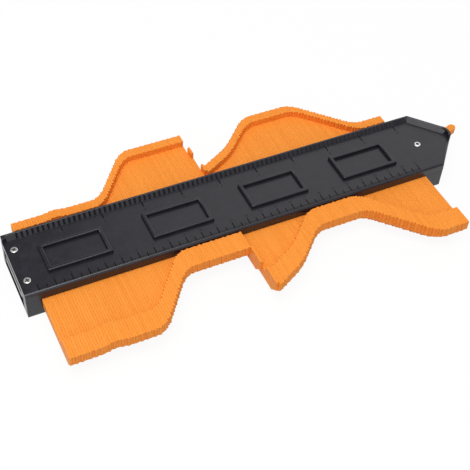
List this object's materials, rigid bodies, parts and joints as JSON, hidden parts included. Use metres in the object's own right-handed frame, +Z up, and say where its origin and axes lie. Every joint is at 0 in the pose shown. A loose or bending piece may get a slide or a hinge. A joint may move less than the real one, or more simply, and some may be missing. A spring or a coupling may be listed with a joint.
{
  "type": "contour gauge",
  "caption": "Contour gauge: a black ruler-shaped housing that guides a stack of thin orange sliding blades, with inch and centimetre scales and a lever that locks a traced profile.",
  "frame": {"origin": "centre of the housing's underside, at the middle of the blade stack", "axes": "+X along the ruler towards the nose, +Y to the rear along the blades, +Z up"},
  "size_m": [0.3096, 0.1393, 0.0217],
  "materials": {
    "black_plastic": "fine satin mould grain",
    "dark_plastic": "plain moulded",
    "orange_plastic": "satin moulded",
    "steel": "plated, lightly worn"
  },
  "bodies": {
    "housing": {"upper_cover": "black_plastic", "lower_cover": "black_plastic", "end_screws": "steel", "pivot_screw": "steel"},
    "lever": {"lock_lever": "orange_plastic"},
    "plate": {"pressure_plate": "dark_plastic"},
    "blade_set_01": {"blade_set_01": "orange_plastic"},
    "blade_set_02": {"blade_set_02": "orange_plastic"},
    "blade_set_03": {"blade_set_03": "orange_plastic"},
    "blade_set_04": {"blade_set_04": "orange_plastic"},
    "blade_set_05": {"blade_set_05": "orange_plastic"},
    "blade_set_06": {"blade_set_06": "orange_plastic"},
    "blade_set_07": {"blade_set_07": "orange_plastic"},
    "blade_set_08": {"blade_set_08": "orange_plastic"},
    "blade_set_09": {"blade_set_09": "orange_plastic"},
    "blade_set_10": {"blade_set_10": "orange_plastic"},
    "blade_set_11": {"blade_set_11": "orange_plastic"},
    "blade_set_12": {"blade_set_12": "orange_plastic"},
    "blade_set_13": {"blade_set_13": "orange_plastic"},
    "blade_set_14": {"blade_set_14": "orange_plastic"},
    "blade_set_15": {"blade_set_15": "orange_plastic"},
    "blade_set_16": {"blade_set_16": "orange_plastic"},
    "blade_set_17": {"blade_set_17": "orange_plastic"},
    "blade_set_18": {"blade_set_18": "orange_plastic"},
    "blade_set_19": {"blade_set_19": "orange_plastic"},
    "blade_set_20": {"blade_set_20": "orange_plastic"},
    "blade_set_21": {"blade_set_21": "orange_plastic"},
    "blade_set_22": {"blade_set_22": "orange_plastic"},
    "blade_set_23": {"blade_set_23": "orange_plastic"},
    "blade_set_24": {"blade_set_24": "orange_plastic"},
    "blade_set_25": {"blade_set_25": "orange_plastic"},
    "blade_set_26": {"blade_set_26": "orange_plastic"},
    "blade_set_27": {"blade_set_27": "orange_plastic"},
    "blade_set_28": {"blade_set_28": "orange_plastic"},
    "blade_set_29": {"blade_set_29": "orange_plastic"},
    "blade_set_30": {"blade_set_30": "orange_plastic"},
    "blade_set_31": {"blade_set_31": "orange_plastic"},
    "blade_set_32": {"blade_set_32": "orange_plastic"},
    "blade_set_33": {"blade_set_33": "orange_plastic"},
    "blade_set_34": {"blade_set_34": "orange_plastic"},
    "blade_set_35": {"blade_set_35": "orange_plastic"},
    "blade_set_36": {"blade_set_36": "orange_plastic"},
    "blade_set_37": {"blade_set_37": "orange_plastic"},
    "blade_set_38": {"blade_set_38": "orange_plastic"},
    "blade_set_39": {"blade_set_39": "orange_plastic"},
    "blade_set_40": {"blade_set_40": "orange_plastic"},
    "blade_set_41": {"blade_set_41": "orange_plastic"}
  },
  "joints": [
    {"name": "lever_pivot", "type": "hinge", "parent": "housing", "child": "lever", "pos_m": [0.1336, -0.0008, 0.0086], "axis": [0, 0, 1], "range_deg": [0, 60]},
    {"name": "plate_press", "type": "slide", "parent": "housing", "child": "plate", "axis": [1, 0, 0], "range_m": [0, 0.00025]},
    {"name": "blade_slide_01", "type": "slide", "parent": "housing", "child": "blade_set_01", "axis": [0, 1, 0], "range_m": [-0.0049, 0.0334]},
    {"name": "blade_slide_02", "type": "slide", "parent": "housing", "child": "blade_set_02", "axis": [0, 1, 0], "range_m": [-0.0049, 0.0335]},
    {"name": "blade_slide_03", "type": "slide", "parent": "housing", "child": "blade_set_03", "axis": [0, 1, 0], "range_m": [-0.0049, 0.0334]},
    {"name": "blade_slide_04", "type": "slide", "parent": "housing", "child": "blade_set_04", "axis": [0, 1, 0], "range_m": [-0.00525, 0.03245]},
    {"name": "blade_slide_05", "type": "slide", "parent": "housing", "child": "blade_set_05", "axis": [0, 1, 0], "range_m": [-0.00565, 0.0324]},
    {"name": "blade_slide_06", "type": "slide", "parent": "housing", "child": "blade_set_06", "axis": [0, 1, 0], "range_m": [-0.0051, 0.033]},
    {"name": "blade_slide_07", "type": "slide", "parent": "housing", "child": "blade_set_07", "axis": [0, 1, 0], "range_m": [-0.0049, 0.0334]},
    {"name": "blade_slide_08", "type": "slide", "parent": "housing", "child": "blade_set_08", "axis": [0, 1, 0], "range_m": [-0.0049, 0.0335]},
    {"name": "blade_slide_09", "type": "slide", "parent": "housing", "child": "blade_set_09", "axis": [0, 1, 0], "range_m": [-0.0051, 0.03205]},
    {"name": "blade_slide_10", "type": "slide", "parent": "housing", "child": "blade_set_10", "axis": [0, 1, 0], "range_m": [-0.00765, 0.02595]},
    {"name": "blade_slide_11", "type": "slide", "parent": "housing", "child": "blade_set_11", "axis": [0, 1, 0], "range_m": [-0.01455, 0.01825]},
    {"name": "blade_slide_12", "type": "slide", "parent": "housing", "child": "blade_set_12", "axis": [0, 1, 0], "range_m": [-0.023, 0.0098]},
    {"name": "blade_slide_13", "type": "slide", "parent": "housing", "child": "blade_set_13", "axis": [0, 1, 0], "range_m": [-0.0307, 0.00285]},
    {"name": "blade_slide_14", "type": "slide", "parent": "housing", "child": "blade_set_14", "axis": [0, 1, 0], "range_m": [-0.0369, 0.00025]},
    {"name": "blade_slide_15", "type": "slide", "parent": "housing", "child": "blade_set_15", "axis": [0, 1, 0], "range_m": [-0.0384, 0]},
    {"name": "blade_slide_16", "type": "slide", "parent": "housing", "child": "blade_set_16", "axis": [0, 1, 0], "range_m": [-0.0383, 0]},
    {"name": "blade_slide_17", "type": "slide", "parent": "housing", "child": "blade_set_17", "axis": [0, 1, 0], "range_m": [-0.0383, 0]},
    {"name": "blade_slide_18", "type": "slide", "parent": "housing", "child": "blade_set_18", "axis": [0, 1, 0], "range_m": [-0.03845, 0.00005]},
    {"name": "blade_slide_19", "type": "slide", "parent": "housing", "child": "blade_set_19", "axis": [0, 1, 0], "range_m": [-0.0383, 0]},
    {"name": "blade_slide_20", "type": "slide", "parent": "housing", "child": "blade_set_20", "axis": [0, 1, 0], "range_m": [-0.0257, 0]},
    {"name": "blade_slide_21", "type": "slide", "parent": "housing", "child": "blade_set_21", "axis": [0, 1, 0], "range_m": [-0.0068, 0.03025]},
    {"name": "blade_slide_22", "type": "slide", "parent": "housing", "child": "blade_set_22", "axis": [0, 1, 0], "range_m": [-0.00885, 0.02715]},
    {"name": "blade_slide_23", "type": "slide", "parent": "housing", "child": "blade_set_23", "axis": [0, 1, 0], "range_m": [-0.01255, 0.02405]},
    {"name": "blade_slide_24", "type": "slide", "parent": "housing", "child": "blade_set_24", "axis": [0, 1, 0], "range_m": [-0.01605, 0.01905]},
    {"name": "blade_slide_25", "type": "slide", "parent": "housing", "child": "blade_set_25", "axis": [0, 1, 0], "range_m": [-0.0205, 0.01345]},
    {"name": "blade_slide_26", "type": "slide", "parent": "housing", "child": "blade_set_26", "axis": [0, 1, 0], "range_m": [-0.02705, 0.00745]},
    {"name": "blade_slide_27", "type": "slide", "parent": "housing", "child": "blade_set_27", "axis": [0, 1, 0], "range_m": [-0.0331, 0.0019]},
    {"name": "blade_slide_28", "type": "slide", "parent": "housing", "child": "blade_set_28", "axis": [0, 1, 0], "range_m": [-0.0372, 0.0003]},
    {"name": "blade_slide_29", "type": "slide", "parent": "housing", "child": "blade_set_29", "axis": [0, 1, 0], "range_m": [-0.0383, 0]},
    {"name": "blade_slide_30", "type": "slide", "parent": "housing", "child": "blade_set_30", "axis": [0, 1, 0], "range_m": [-0.0383, 0]},
    {"name": "blade_slide_31", "type": "slide", "parent": "housing", "child": "blade_set_31", "axis": [0, 1, 0], "range_m": [-0.0383, 0.0001]},
    {"name": "blade_slide_32", "type": "slide", "parent": "housing", "child": "blade_set_32", "axis": [0, 1, 0], "range_m": [-0.0383, 0]},
    {"name": "blade_slide_33", "type": "slide", "parent": "housing", "child": "blade_set_33", "axis": [0, 1, 0], "range_m": [-0.0361, 0.00065]},
    {"name": "blade_slide_34", "type": "slide", "parent": "housing", "child": "blade_set_34", "axis": [0, 1, 0], "range_m": [-0.02995, 0.00415]},
    {"name": "blade_slide_35", "type": "slide", "parent": "housing", "child": "blade_set_35", "axis": [0, 1, 0], "range_m": [-0.02365, 0.01]},
    {"name": "blade_slide_36", "type": "slide", "parent": "housing", "child": "blade_set_36", "axis": [0, 1, 0], "range_m": [-0.01745, 0.0168]},
    {"name": "blade_slide_37", "type": "slide", "parent": "housing", "child": "blade_set_37", "axis": [0, 1, 0], "range_m": [-0.01055, 0.0233]},
    {"name": "blade_slide_38", "type": "slide", "parent": "housing", "child": "blade_set_38", "axis": [0, 1, 0], "range_m": [-0.00625, 0.0293]},
    {"name": "blade_slide_39", "type": "slide", "parent": "housing", "child": "blade_set_39", "axis": [0, 1, 0], "range_m": [-0.0049, 0.0332]},
    {"name": "blade_slide_40", "type": "slide", "parent": "housing", "child": "blade_set_40", "axis": [0, 1, 0], "range_m": [-0.0049, 0.03345]},
    {"name": "blade_slide_41", "type": "slide", "parent": "housing", "child": "blade_set_41", "axis": [0, 1, 0], "range_m": [-0.00495, 0.0334]}
  ],
  "couplings": [
    {"joint": "plate_press", "follows": "lever_pivot", "m_per_rad": 0.00023871}
  ]
}
